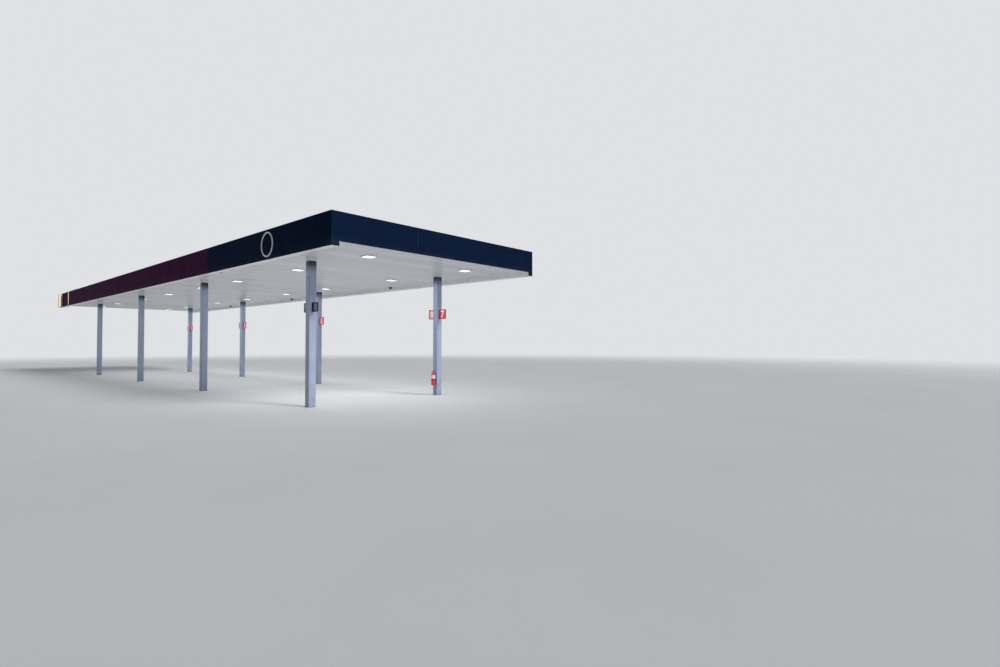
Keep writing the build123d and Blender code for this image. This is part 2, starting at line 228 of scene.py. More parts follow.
def rounded_loop(half_x, half_y, radius, per_corner=5):
    """Points and outward directions round a rectangle with round corners, seen from above."""
    points, outward = [], []
    for sx, sy, start in ((1, 1, 0), (-1, 1, 90), (-1, -1, 180), (1, -1, 270)):
        a = np.radians(np.linspace(start, start + 90, per_corner))
        away = np.stack([np.cos(a), np.sin(a), 0 * a], -1)
        points.append(np.array([sx * (half_x - radius), sy * (half_y - radius), 0]) + radius * away)
        outward.append(away)
    return np.concatenate(points), np.concatenate(outward)


def add_piece(name, shape, finish, smooth=False, bevel=0.0):
    """A new object at the origin that rides on the body, with an optional rounding of its edges."""
    points, faces = shape
    mesh = bpy.data.meshes.new(name)
    mesh.from_pydata(points.tolist(), [], faces)
    mesh.update()
    mesh.polygons.foreach_set("use_smooth", np.full(len(mesh.polygons), smooth))
    mesh.materials.append(FINISHES[finish])
    piece = bpy.data.objects.new(name, mesh)
    bpy.context.scene.collection.objects.link(piece)
    if bevel:
        rounding = piece.modifiers.new("rounding", "BEVEL")
        rounding.width = bevel
        rounding.segments = 2
        rounding.limit_method = "ANGLE"
        rounding.angle_limit = math.radians(40)
    if smooth:
        mesh.set_sharp_from_angle(angle=math.radians(35))
    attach(piece, "root")
    return piece


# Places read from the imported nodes


def solid_boxes(node):
    """Lowest and highest corner of each solid of a node, as an array of (low, high).

    Corners at one place count as one, and each triangle hands its lowest label to its corners until none changes.
    """
    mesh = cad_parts[node].data
    co = np.empty(len(mesh.vertices) * 3)
    mesh.vertices.foreach_get("co", co)
    corners, label = np.unique(np.round(co.reshape(-1, 3), 5), axis=0, return_inverse=True)
    triangles = np.empty(len(mesh.polygons) * 3, dtype=np.int64)
    mesh.polygons.foreach_get("vertices", triangles)
    triangles = label.ravel()[triangles].reshape(-1, 3)
    group = np.arange(len(corners))
    while True:
        lowest = group.copy()
        np.minimum.at(lowest, triangles.ravel(), np.repeat(group[triangles].min(axis=1), 3))
        if (lowest == group).all():
            break
        group = lowest
    return np.array([[corners[group == g].min(0), corners[group == g].max(0)] for g in np.unique(group)])


def boxes_of(*nodes):
    """Boxes of the solids of several nodes, sorted along X and Y."""
    found = np.concatenate([solid_boxes(n) for n in nodes])
    return found[np.lexsort((found[:, 0, 1], found[:, 0, 0]))]


def nodes_named(prefix):
    return sorted(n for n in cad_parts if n.startswith(prefix))


def corners_of(node):
    """Lowest and highest corner of a whole node."""
    return [np.array(v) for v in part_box(node)]


def middles(boxes):
    return boxes.mean(axis=1)


COLUMNS = boxes_of(*nodes_named("column_front"), *nodes_named("column_rear"))
BEAMS = boxes_of("main_beams")
PURLINS = boxes_of("purlins")
PANS = boxes_of(*nodes_named("deck_pans"))
LAMPS = boxes_of("lamp_housings")
CAMERAS = boxes_of("dome_cameras")
LENS_HALF = float(np.diff(boxes_of("lamp_lenses")[0, :, 0])[0]) / 2
SOFFIT = float(PANS[:, 0, 2].min())
RIB_TOP = float(PANS[:, 1, 2].max())
BEAM_LOW = float(BEAMS[0, 0, 2])
PAN_MODULE = float(np.median(np.diff(np.sort(PANS[:, 1, 0]))))
PAN_START = float(PANS[:, 1, 0].max())
LAMP_ROW = float(np.abs(middles(LAMPS)[:, 1]).mean())

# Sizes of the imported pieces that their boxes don't give
CAP_PLATE = 0.020
BEAM_FLANGE, PURLIN_FLANGE = 0.0128, 0.009
COLLAR_FLANGE, COLLAR_SHEET = 0.022, 0.003
PAN_SHEET, PAN_JOINT = 0.0015, 0.003
PANEL_SKIN, RAIL = 0.004, 0.040
GUTTER_FLANGE, GUTTER_SHEET = 0.028, 0.003
DRIVER_HEIGHT = 0.062
FLAG_THICKNESS = 0.024
RING_BAND = 0.045

# Diameters of the gutters' rivets and the lamps' screws, and of the flags' screws
RIVET, FLAG_SCREW = 0.005, 0.004

# The long sides, each with the sign of the Y direction that it faces
SIDES = (("front", -1), ("rear", 1))


# Finishes


def base_finish(name, colour, roughness, metallic=0.0, coat=0.0, ior=1.5):
    """A material with its node tree, its shader and object coordinates in metres."""
    material = bpy.data.materials.new(name)
    material.use_nodes = True
    tree = material.node_tree
    shader = tree.nodes["Principled BSDF"]
    shader.inputs["Base Color"].default_value = colour
    shader.inputs["Roughness"].default_value = roughness
    shader.inputs["Metallic"].default_value = metallic
    shader.inputs["Coat Weight"].default_value = coat
    shader.inputs["Coat Roughness"].default_value = 0.06
    if not metallic:
        shader.inputs["IOR"].default_value = ior
    return material, tree, shader, add(tree, "ShaderNodeTexCoord").outputs["Object"]


def cloud(tree, place, size, low, high, top=1.0, stretch=(1, 1, 1), detail=4.0):
    """Soft blotches of about one size in metres: 0 below the low level of the noise, top above the high one."""
    spread = add(tree, "ShaderNodeMapping", {"Vector": place, "Scale": tuple(s / size for s in stretch)})
    noise = add(tree, "ShaderNodeTexNoise", {
        "Vector": spread.outputs["Vector"], "Scale": 1.0, "Detail": detail, "Roughness": 0.55,
    })
    return add(tree, "ShaderNodeMapRange", {
        "Value": noise.outputs["Fac"], "From Min": low, "From Max": high, "To Max": top,
    }).outputs["Result"]


def fade(tree, place, full, none, axis="Z"):
    """One at the first coordinate along an axis, none at the second, and an even run between them."""
    part = add(tree, "ShaderNodeSeparateXYZ", {"Vector": place}).outputs[axis]
    return add(tree, "ShaderNodeMapRange", {
        "Value": part, "From Min": full, "From Max": none, "To Min": 1.0, "To Max": 0.0,
    }).outputs["Result"]


def worked_out(tree, value, *steps):
    """A value after a run of arithmetic: each step is an operation with its second operand, if it has one."""
    for operation, *second in steps:
        value = add(tree, "ShaderNodeMath", dict(enumerate([value, *second])), operation=operation).outputs["Value"]
    return value


def painted(tree, target, colour, *layers):
    """Lays shades over a colour in turn, each with the amount of it that shows, and links the result."""
    for shade, amount in layers:
        shade = linear(shade) if isinstance(shade, str) else shade
        colour = add(tree, "ShaderNodeMix", {0: amount, 6: colour, 7: shade}, data_type="RGBA").outputs[2]
    tree.links.new(colour, target)
    return colour


def uneven(tree, shader, place, size, depth, strength=0.3, stretch=(1, 1, 1)):
    """A shallow unevenness of the surface of one size, as deep as given in metres."""
    height = cloud(tree, place, size, 0.3, 0.7, stretch=stretch, detail=2.0)
    bump = add(tree, "ShaderNodeBump", {"Height": height, "Strength": strength, "Distance": depth})
    tree.links.new(bump.outputs["Normal"], shader.inputs["Normal"])


def gloss(tree, shader, amount, low, high):
    """Roughness that goes from the low to the high value as the amount goes from none to one."""
    rough = add(tree, "ShaderNodeMapRange", {"Value": amount, "To Min": low, "To Max": high})
    tree.links.new(rough.outputs["Result"], shader.inputs["Roughness"])


def weathered(name, colour, roughness, layers, sheen, bump=None, **more):
    """A finish with blotches of other shades, each given as a shade and its cloud's size, levels and top.

    The sheen is the blotches' size and two roughnesses, and the bump is a size, a depth and a strength.
    """
    material, tree, shader, place = base_finish(name, colour, roughness, **more)
    blotches = [(shade, cloud(tree, place, *form)) for shade, *form in layers]
    painted(tree, shader.inputs["Base Color"], colour, *blotches)
    size, low, high = sheen
    gloss(tree, shader, cloud(tree, place, size, 0.3, 0.7), low, high)
    if bump:
        uneven(tree, shader, place, *bump)
    return material


def pans_from_end(tree, place):
    """How many pans lie between the near end and a place, with the fraction of the last one."""
    along = add(tree, "ShaderNodeSeparateXYZ", {"Vector": place}).outputs["X"]
    return worked_out(tree, along, ("SUBTRACT", PAN_START), ("DIVIDE", -PAN_MODULE))


def column_enamel(colours):
    # Gloss enamel brushed on mill tube: soft sheen, rain streaks, a dark streaky band of painted shade that fades
    # out under the sleeve, road dust and scuffs low down.
    material, tree, shader, place = base_finish("enamel_pale_blue_grey", colours.column, 0.3, coat=0.1)
    sleeve_foot = float(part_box("column_collars")[0].z)
    dust = worked_out(tree, fade(tree, place, 0.0, 0.9), ("MULTIPLY", cloud(tree, place, 0.12, 0.3, 0.65, 0.55)))
    # Painted shade: the column darkens just under the sleeve, where the ceiling lamps' light doesn't reach it
    band = worked_out(
        tree, fade(tree, place, sleeve_foot - 0.10, sleeve_foot - 0.36),
        ("MULTIPLY", fade(tree, place, sleeve_foot + 0.05, sleeve_foot + 0.06)),
        ("MULTIPLY", cloud(tree, place, 0.15, 0.0, 0.45, 0.95, (1, 1, 0.3))),
    )
    scuffs = cloud(tree, place, 0.018, 0.69, 0.72, 0.8, (1, 1, 0.4))
    painted(
        tree, shader.inputs["Base Color"], colours.column,
        ("7785a2", cloud(tree, place, 0.05, 0.52, 0.8, 0.35, (1, 1, 0.05))),
        ("b1bcd2", cloud(tree, place, 0.6, 0.45, 0.75, 0.3)), ("77736d", dust), ("1d1f25", band),
        ("4d4f53", worked_out(tree, fade(tree, place, 1.0, 1.5), ("MULTIPLY", scuffs))),
    )
    gloss(tree, shader, cloud(tree, place, 0.3, 0.3, 0.7), 0.24, 0.42)
    uneven(tree, shader, place, 0.008, 0.0002, 0.25)
    return material


def deck_white(colours):
    # Semi-gloss coil coat on roll-formed pans: each pan takes the light a little differently, with grime in the joints.
    material, tree, shader, place = base_finish("coil_coat_semi_gloss_white", colours.white, 0.33)
    pans = pans_from_end(tree, place)
    number = worked_out(tree, pans, ("FLOOR",))
    chance = add(tree, "ShaderNodeTexWhiteNoise", {"W": number}, noise_dimensions="1D").outputs["Value"]
    joint = add(tree, "ShaderNodeMapRange", {
        "Value": worked_out(tree, pans, ("PINGPONG", 0.5)), "From Max": 0.035, "To Min": 0.55, "To Max": 0.0,
    }).outputs["Result"]
    painted(
        tree, shader.inputs["Base Color"], colours.white, ("c6cace", worked_out(tree, chance, ("MULTIPLY", 0.45))),
        ("8b8c8c", joint), ("b4b1aa", cloud(tree, place, 0.9, 0.5, 0.85, 0.3, (0.6, 1.6, 1))),
    )
    gloss(tree, shader, chance, 0.28, 0.4)
    uneven(tree, shader, place, 0.35, 0.0015, 0.35, (1.5, 0.5, 1))
    return material


def dipped_zinc(colours):
    # Hot-dip zinc: crystals of 20 to 40 mm that take the light at slightly different greys.
    material, tree, shader, place = base_finish("hot_dip_zinc", colours.zinc, 0.45, metallic=1.0)
    crystals = add(tree, "ShaderNodeTexVoronoi", {"Vector": place, "Scale": 35.0}).outputs["Color"]
    tone = add(tree, "ShaderNodeSeparateColor", {"Color": crystals}).outputs["Red"]
    painted(
        tree, shader.inputs["Base Color"], colours.zinc, ("7f8488", worked_out(tree, tone, ("MULTIPLY", 0.6))),
        ("c3c6c8", cloud(tree, place, 0.2, 0.55, 0.8, 0.4)),
    )
    gloss(tree, shader, tone, 0.36, 0.58)
    return material


def fascia_coat(name, colour, light_shade, dark_shade):
    # Weathered coil coat on composite panel: chalky, with long shallow waves, drip marks and a lighter foot that is
    # dust and a painted glow of the lamps. Its specular level is next to nothing, because the pale studio would wash
    # the dark colours out at flat angles.
    material, tree, shader, place = base_finish(name, colour, 0.55)
    shader.inputs["Specular IOR Level"].default_value = 0.004
    low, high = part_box("fascia_blue_front")
    drips = cloud(tree, place, 0.05, 0.55, 0.8, 0.22, (1, 1, 0.08))
    # Lighter along the foot: partly dust, partly a painted glow of the lamps under the edge
    dust_and_glow = cloud(tree, place, 0.3, 0.3, 0.7, 0.28)
    painted(
        tree, shader.inputs["Base Color"], colour, (light_shade, cloud(tree, place, 1.4, 0.4, 0.8, 0.5)),
        (dark_shade, cloud(tree, place, 0.35, 0.5, 0.85, 0.4)),
        ("3a4050", worked_out(tree, fade(tree, place, high.z, high.z - 0.5), ("MULTIPLY", drips))),
        ("454a58", worked_out(tree, fade(tree, place, low.z, low.z + 0.3), ("MULTIPLY", dust_and_glow))),
    )
    gloss(tree, shader, cloud(tree, place, 0.5, 0.3, 0.7, stretch=(1, 1, 0.5)), 0.5, 0.6)
    uneven(tree, shader, place, 0.9, 0.002, 0.15, (1, 1, 1.3))
    return material


def lit_lens(colours):
    # Prismatic polycarbonate over rows of diodes 38 mm apart: bright points in a dimmer even field, with a dim rim.
    material, tree, shader, place = base_finish("prismatic_polycarbonate", linear("5f6266"), 0.3, ior=1.58)
    across = worked_out(tree, pans_from_end(tree, place), ("FRACT",), ("SUBTRACT", 0.5), ("MULTIPLY", PAN_MODULE))
    side = add(tree, "ShaderNodeSeparateXYZ", {"Vector": place}).outputs["Y"]
    along = worked_out(tree, side, ("ABSOLUTE",), ("SUBTRACT", LAMP_ROW))
    local = add(tree, "ShaderNodeCombineXYZ", {"X": across, "Y": along}).outputs["Vector"]
    diodes = add(
        tree, "ShaderNodeTexVoronoi", {"Vector": local, "Scale": 1 / 0.038, "Randomness": 0.0},
        voronoi_dimensions="2D",
    )
    point = add(tree, "ShaderNodeMapRange", {
        "Value": diodes.outputs["Distance"], "From Min": 0.12, "From Max": 0.42, "To Min": 1.0, "To Max": 0.0,
    }).outputs["Result"]
    reach = worked_out(tree, across, ("ABSOLUTE",), ("MAXIMUM", worked_out(tree, along, ("ABSOLUTE",))))
    rim = add(tree, "ShaderNodeMapRange", {
        "Value": reach, "From Min": 0.96 * LENS_HALF, "From Max": LENS_HALF, "To Min": 1.0, "To Max": 0.6,
    }).outputs["Result"]
    light = (colours.lamp, worked_out(tree, point, ("MULTIPLY", rim)))
    painted(tree, shader.inputs["Emission Color"], linear("7b8187"), light)
    shader.inputs["Emission Strength"].default_value = 4.0
    return material


def lit_plastic(name, box, strength, axis, first, *shades):
    # Translucent lit sheet: shades run into each other along one axis, a little darker away from the lamps inside.
    material, tree, shader, place = base_finish(name, first, 0.25, ior=1.49)
    start, end = (float(corner["XYZ".index(axis)]) for corner in box)
    step = (end - start) / (len(shades) + 1)
    blend = 0.06 * (end - start)
    layers = []
    for number, shade in enumerate(shades, start=1):
        middle = start + step * number
        layers.append((shade, fade(tree, place, middle + blend, middle - blend, axis)))
    grime = ("8d8674", cloud(tree, place, 0.25, 0.5, 0.8, 0.3))
    light = painted(tree, shader.inputs["Base Color"], first, *layers, grime)
    tree.links.new(light, shader.inputs["Emission Color"])
    shader.inputs["Emission Strength"].default_value = strength
    gloss(tree, shader, cloud(tree, place, 0.05, 0.3, 0.7), 0.2, 0.35)
    return material


def make_finishes(colours):
    """All finishes, by a maker's short name."""
    made = {
        "column": column_enamel(colours),
        "deck": deck_white(colours),
        "zinc": dipped_zinc(colours),
        "blue": fascia_coat("composite_panel_navy", colours.blue, "12233f", "070f1f"),
        "maroon": fascia_coat("composite_panel_maroon", colours.maroon, "4a1e46", "291027"),
        "lens": lit_lens(colours),
        "sign": lit_plastic(
            "lit_acrylic_sign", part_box("end_sign_box"), 0.6, "X", linear("e23a64"), "fbd3d3", "f3ea6a", "b2d026"
        ),
        "amber": lit_plastic("lit_acrylic_amber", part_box("accent_bar"), 0.8, "Z", colours.amber, "f3cf9c"),
        "strip": lit_plastic(
            "lit_polycarbonate_strip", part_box("top_light_bar"), 0.5, "X", linear("93a0b2"), "dfe6ee"
        ),
        # Satin coil coat on trim sheet: a faint dust film
        "trim": weathered(
            "coil_coat_satin_white", colours.white, 0.4, [("b9bbbd", 0.07, 0.5, 0.8, 0.4)], (0.1, 0.32, 0.5)
        ),
        # Folded coil-coated sheet: satin, with run marks and a grey film where water stands
        "gutter": weathered(
            "coil_coat_gutter_white", linear("f3f3f4"), 0.34,
            [("a9a8a4", 0.06, 0.5, 0.8, 0.3, (1, 0.25, 0.25)), ("93918c", 0.5, 0.55, 0.8, 0.25)],
            (0.25, 0.26, 0.45), (0.5, 0.002, 0.3),
        ),
        # Sprayed shop primer on rolled steel: flat grey, mottled, with rust bleeding through in spots
        "primer": weathered(
            "shop_primer_grey", colours.primer, 0.65,
            [("85878a", 0.22, 0.4, 0.75, 0.6), ("6d3d22", 0.05, 0.66, 0.74, 0.75)],
            (0.1, 0.5, 0.8), (0.006, 0.0003, 0.4),
        ),
        # Powder-coated die casting: fine orange peel, slight warm soot round the edges
        "powder": weathered(
            "powder_coat_white", colours.white, 0.42, [("b8b4ad", 0.08, 0.5, 0.8, 0.4)], (0.05, 0.36, 0.5),
            (0.003, 0.0001, 0.3),
        ),
        # Vacuum-formed smoked acrylic: near-black and glossy, with fine wiping haze
        "dome": weathered(
            "smoked_acrylic", linear("0c0d10"), 0.08, [("3a3c40", 0.03, 0.4, 0.8, 0.25)], (0.04, 0.05, 0.16),
            coat=1.0, ior=1.49,
        ),
        # Baked enamel on a drawn steel vessel: high gloss with small scuffs down to dull paint
        "vessel": weathered(
            "baked_enamel_red", colours.red, 0.15,
            [("7a0d12", 0.06, 0.4, 0.8, 0.5), ("c9b8b4", 0.012, 0.7, 0.74, 0.6)], (0.03, 0.1, 0.26), coat=0.7,
        ),
        # Powder coat on small brackets: satin black, rubbed grey at places
        "bracket": weathered(
            "powder_coat_black", colours.black, 0.45, [("3d3f43", 0.02, 0.55, 0.75, 0.6)], (0.02, 0.36, 0.56)
        ),
        # Tooled silicone: dull mid grey with dirt in it
        "sealant": weathered(
            "silicone_sealant_grey", linear("77797a"), 0.55, [("4c4a47", 0.04, 0.45, 0.75, 0.7)], (0.02, 0.45, 0.7),
            ior=1.41,
        ),
        # Machined brass valve: warm metal with a dull bloom
        "brass": weathered(
            "machined_brass", linear("b08d4c"), 0.3, [("6e5a38", 0.02, 0.45, 0.75, 0.6)], (0.01, 0.22, 0.42),
            metallic=1.0,
        ),
    }
    # Cast acrylic sheet and cut vinyl film: glossy, with fine dust and faint rub marks
    for finish, name, colour, shade in (
        ("red", "acrylic_red", colours.flag, "c22c4c"),
        ("black", "acrylic_black", colours.black, "26282c"),
        ("pale", "acrylic_slate_grey", linear("2b3140"), "20242e"),
        ("ring", "acrylic_white", linear("d5d9de"), "a9adb3"),
        ("digit", "cut_vinyl_white", linear("f6f6f6"), "d9dadc"),
        ("grey digit", "cut_vinyl_grey", linear("98a3b6"), "7f899c"),
    ):
        made[finish] = weathered(
            name, colour, 0.22, [(shade, 0.09, 0.45, 0.8, 0.45)], (0.05, 0.16, 0.34), coat=0.15, ior=1.49
        )
    return made


FINISHES = {}

NODE_FINISHES = (
    ("column_collars", "trim"), ("column_", "column"), ("main_beams", "primer"), ("purlins", "primer"),
    ("deck_pans", "deck"), ("gutter_", "gutter"), ("fascia_blue", "blue"), ("fascia_near_end", "blue"),
    ("fascia_maroon", "maroon"), ("fascia_far_end", "maroon"), ("fascia_ring", "ring"), ("fascia_", "zinc"),
    ("lamp_housings", "powder"), ("lamp_lenses", "lens"), ("dome_cameras", "dome"),
    ("number_flags_red", "red"), ("number_flags_black", "black"), ("fire_extinguisher", "vessel"),
    ("extinguisher_hanger", "bracket"), ("end_sign_box", "sign"), ("accent_bar", "amber"),
    ("top_light_bar", "strip"),
)


# Operators


class CANOPY_OT_finish_nodes(bpy.types.Operator):
    """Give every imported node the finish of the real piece"""

    bl_idname = "canopy.finish_nodes"
    bl_label = "Finish the packed nodes"

    def execute(self, context):
        FINISHES.update(make_finishes(context.scene.canopy_colours))
        for name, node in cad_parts.items():
            finish = next(f for start, f in NODE_FINISHES if name.startswith(start))
            if not node.material_slots:
                node.data.materials.append(None)
            for slot in node.material_slots:
                slot.material = FINISHES[finish]
        return {"FINISHED"}


def bolt_shape(size):
    """A hexagon head on a round washer, standing on Z = 0: two turned profiles."""
    washer = turned([(1.05 * size, 0), (1.05 * size, 0.15 * size)], 12)
    head = turned([(0.86 * size, 0.15 * size), (0.86 * size, 0.7 * size), (0.7 * size, 0.78 * size)], 6)
    return merged([washer, head])


def nut_shape(size):
    """A nut with the end of its bolt, standing on Z = 0."""
    nut = turned([(0.86 * size, 0), (0.86 * size, 0.85 * size)], 6)
    thread = turned([(0.5 * size, 0.85 * size), (0.5 * size, 1.3 * size), (0.4 * size, 1.36 * size)], 8)
    return merged([nut, thread])


def screw_shape(size):
    """A low washer-headed screw: one turned profile with eight sides."""
    return turned(np.array([(1.15, 0), (1.15, 0.2), (0.75, 0.35), (0.7, 0.75)]) * size, 8)


def screws_along_y(size, spots):
    """Screws at spots of (x, y, z, sign), each with its head towards sign Y."""
    return merged([copies(screw_shape(size), [s[:3] for s in spots if s[3] == sign], sign * Y) for sign in (1, -1)])


class CANOPY_OT_add_column_details(bpy.types.Operator):
    """Add sealant at the columns' feet, weld beads under the caps and screws in the collars"""

    bl_idname = "canopy.add_column_details"
    bl_label = "Column details"

    def execute(self, context):
        sizes = context.scene.canopy_details
        half = sizes.column_size / 2
        loop, outward = rounded_loop(half, half, sizes.column_corner)
        # A fillet in section: flat on the column and on the ground, hollow between them, and larger as sealant
        fillet = np.array([(0, 0), (1, 0), (0.5, 0.2), (0.2, 0.5), (0, 1)]) * sizes.bead
        foot_fillet, weld_fillet = fillet * 1.4, fillet * 0.8
        cap_bottom = float(COLUMNS[0, 1, 2]) - CAP_PLATE
        paths = [loop + centre * (1, 1, 0) for centre in middles(COLUMNS)]
        feet = merged([ring(foot_fillet, path, outward, Z) for path in paths])
        welds = merged([ring(weld_fillet, path + cap_bottom * Z, outward, -Z) for path in paths])
        add_piece("column_foot_sealant", feet, "sealant", smooth=True)
        add_piece("column_cap_welds", welds, "column", smooth=True)
        collars = boxes_of("column_collars")
        reach = float(collars[0, 1, 0] - collars[0, 0, 0]) / 2 - COLLAR_FLANGE / 2
        under = float(collars[0, 1, 2]) - COLLAR_SHEET
        # Four corners and four middles of each square flange
        spots = [(a, b) for a in (-1, 0, 1) for b in (-1, 0, 1) if a or b]
        places = [(c[0] + a * reach, c[1] + b * reach, under) for c in middles(collars) for a, b in spots]
        add_piece("collar_screws", copies(screw_shape(sizes.screw), places, -Z), "zinc")
        return {"FINISHED"}


class CANOPY_OT_add_steel_bolts(bpy.types.Operator):
    """Bolt the main beams to the caps, the purlins to the beams and the brackets to the edge purlins"""

    bl_idname = "canopy.add_steel_bolts"
    bl_label = "Bolts in the steelwork"

    def execute(self, context):
        size = context.scene.canopy_details.bolt
        # Half the bolts' distance over a beam's flange, along a cap and over a purlin's flange
        across, cap_reach, purlin_reach = 0.055, 0.155, 0.040
        joints = [(c[0], c[1], cap_reach, CAP_PLATE) for c in middles(COLUMNS)]
        joints += [
            (beam[0], purlin[1], purlin_reach, PURLIN_FLANGE) for beam in middles(BEAMS) for purlin in middles(PURLINS)
        ]
        heads, nuts = [], []
        for x, y, reach, depth in joints:
            for spot in [(x + a, y + b) for a in (-across, across) for b in (-reach, reach)]:
                heads.append((*spot, BEAM_LOW - depth))
                nuts.append((*spot, BEAM_LOW + BEAM_FLANGE))
        add_piece("steel_bolt_heads", copies(bolt_shape(size), heads, -Z), "zinc")
        add_piece("steel_bolt_nuts", copies(nut_shape(size), nuts), "zinc")
        # Two bolts stand on each bracket, at these distances out from its inner end
        steps, places = (0.018, 0.115), []
        for side, sign in SIDES:
            for low, high in solid_boxes(f"fascia_brackets_{side}"):
                inner = high[1] if sign < 0 else low[1]
                places += [((low[0] + high[0]) / 2, inner + sign * step, BEAM_LOW + RAIL) for step in steps]
        add_piece("bracket_bolts", copies(bolt_shape(0.6 * size), places), "zinc")
        return {"FINISHED"}


class CANOPY_OT_add_deck_clips(bpy.types.Operator):
    """Add the clips that hang each pan's rib on the purlins' lower flanges, with their screws"""

    bl_idname = "canopy.add_deck_clips"
    bl_label = "Deck clips"

    def execute(self, context):
        sizes = context.scene.canopy_details
        width = sizes.clip_width
        xs = np.sort(PANS[:, 1, 0])[:-1] + PAN_JOINT + PAN_SHEET
        top = float(PURLINS[0, 0, 2]) + PURLIN_FLANGE
        # A folded strip in section, from the flange's edge: over the flange, round its edge and down beside the rib
        grip, tail, outer, inner = -0.024, -0.045, 0.004, 0.002
        strip = np.array([(grip, 0), (grip, inner), (outer, inner), (outer, tail), (inner, tail), (inner, 0)])
        clips, screws = [], []
        for side, sign in ((1, 1), (0, -1)):
            for edge in PURLINS[:, side, 1]:
                clip = bar(strip * (sign, 1) + (edge, top), 0 * X, width * X, Y, Z)
                clips.append(repeated(clip, np.outer(xs, X)))
                screws += [(x + width / 2, edge + sign * outer, top - 0.03, sign) for x in xs]
        add_piece("deck_clips", merged(clips), "zinc")
        add_piece("deck_clip_screws", screws_along_y(sizes.screw, screws), "zinc")
        return {"FINISHED"}


class CANOPY_OT_add_gutter_details(bpy.types.Operator):
    """Add lap straps, rivets and the row of screws that ties the pans' ends to the gutters"""

    bl_idname = "canopy.add_gutter_details"
    bl_label = "Gutter laps and screws"

    def execute(self, context):
        sizes = context.scene.canopy_details
        half, rivet_x, sheet, setback = sizes.lap_width / 2, 0.028, 0.0018, 0.022
        floor, brim = corners_of("gutter_front")[0][2], SOFFIT - 0.004
        straps, rivets, screws = [], [], []
        for side, sign in SIDES:
            low, high = corners_of(f"gutter_{side}")
            outer, inner = (low[1], high[1]) if sign < 0 else (high[1], low[1])
            start, wall = outer - sign * setback, inner + sign * GUTTER_FLANGE
            # An angle strap in section: under the floor and up the inner wall, one sheet thick
            outline = [(start, floor), (wall, floor), (wall, brim), (wall - sign * sheet, brim)]
            outline += [(wall - sign * sheet, floor - sheet), (start, floor - sheet)]
            lengths = math.ceil((high[0] - low[0]) / sizes.lap_spacing)
            for x in np.linspace(low[0], high[0], lengths + 1)[1:-1]:
                straps.append(bar(outline, (x - half) * X, (x + half) * X, Y, Z))
                for dx in (-rivet_x, rivet_x):
                    rivets += [(x + dx, start + (wall - start) * f, floor - sheet) for f in (0.12, 0.37, 0.63, 0.88)]
            edge = inner + sign * GUTTER_FLANGE / 2
            screws += [(x - PAN_MODULE / 2, edge, SOFFIT - GUTTER_SHEET) for x in PANS[:, 1, 0]]
        add_piece("gutter_lap_straps", merged(straps), "gutter", bevel=0.0006)
        add_piece("gutter_rivets", copies(screw_shape(RIVET), rivets, -Z), "gutter")
        add_piece("gutter_screws", copies(screw_shape(sizes.screw), screws, -Z), "zinc")
        return {"FINISHED"}


class CANOPY_OT_add_fascia_details(bpy.types.Operator):
    """Add the splice plates behind the panel joints and the screws along the top"""

    bl_idname = "canopy.add_fascia_details"
    bl_label = "Fascia joints and screws"

    def execute(self, context):
        half, sheet, lip = 0.030, 0.0015, 0.012
        spacing, end_gap, setback = 0.6, 0.05, 0.030
        splices, tops = [], []
        for side, sign in SIDES:
            panels = boxes_of(f"fascia_blue_{side}", f"fascia_maroon_{side}")
            # The panels proper, without the narrow pieces
            panels = panels[panels[:, 1, 0] - panels[:, 0, 0] > 1]
            foot, top = panels[0, :, 2]
            lower, upper = np.sort(boxes_of(f"fascia_rails_{side}")[:, 0, 2])[:2]
            face = panels[:, 0, 1].min() if sign < 0 else panels[:, 1, 1].max()
            back = face - sign * PANEL_SKIN
            y0, y1 = sorted((back, back - sign * sheet))
            for x in (panels[1:, 0, 0] + panels[:-1, 1, 0]) / 2:
                for z0, z1 in ((foot + lip, lower), (lower + RAIL, upper)):
                    splices.append(plate((x - half, y0, z0), (x + half, y1, z1)))
            for start, end in panels[:, :, 0]:
                xs = np.linspace(start + end_gap, end - end_gap, max(2, round((end - start) / spacing)))
                tops += [(x, face - sign * setback, top - sheet) for x in xs]
        add_piece("fascia_splices", merged(splices), "bracket")
        # Countersunk: only the slightly domed head shows over the return, and it stays below the roof's top
        head = turned([(0.006, 0), (0.006, 0.0012), (0.003, 0.0015)], 8)
        add_piece("fascia_top_screws", copies(head, tops), "zinc")
        return {"FINISHED"}


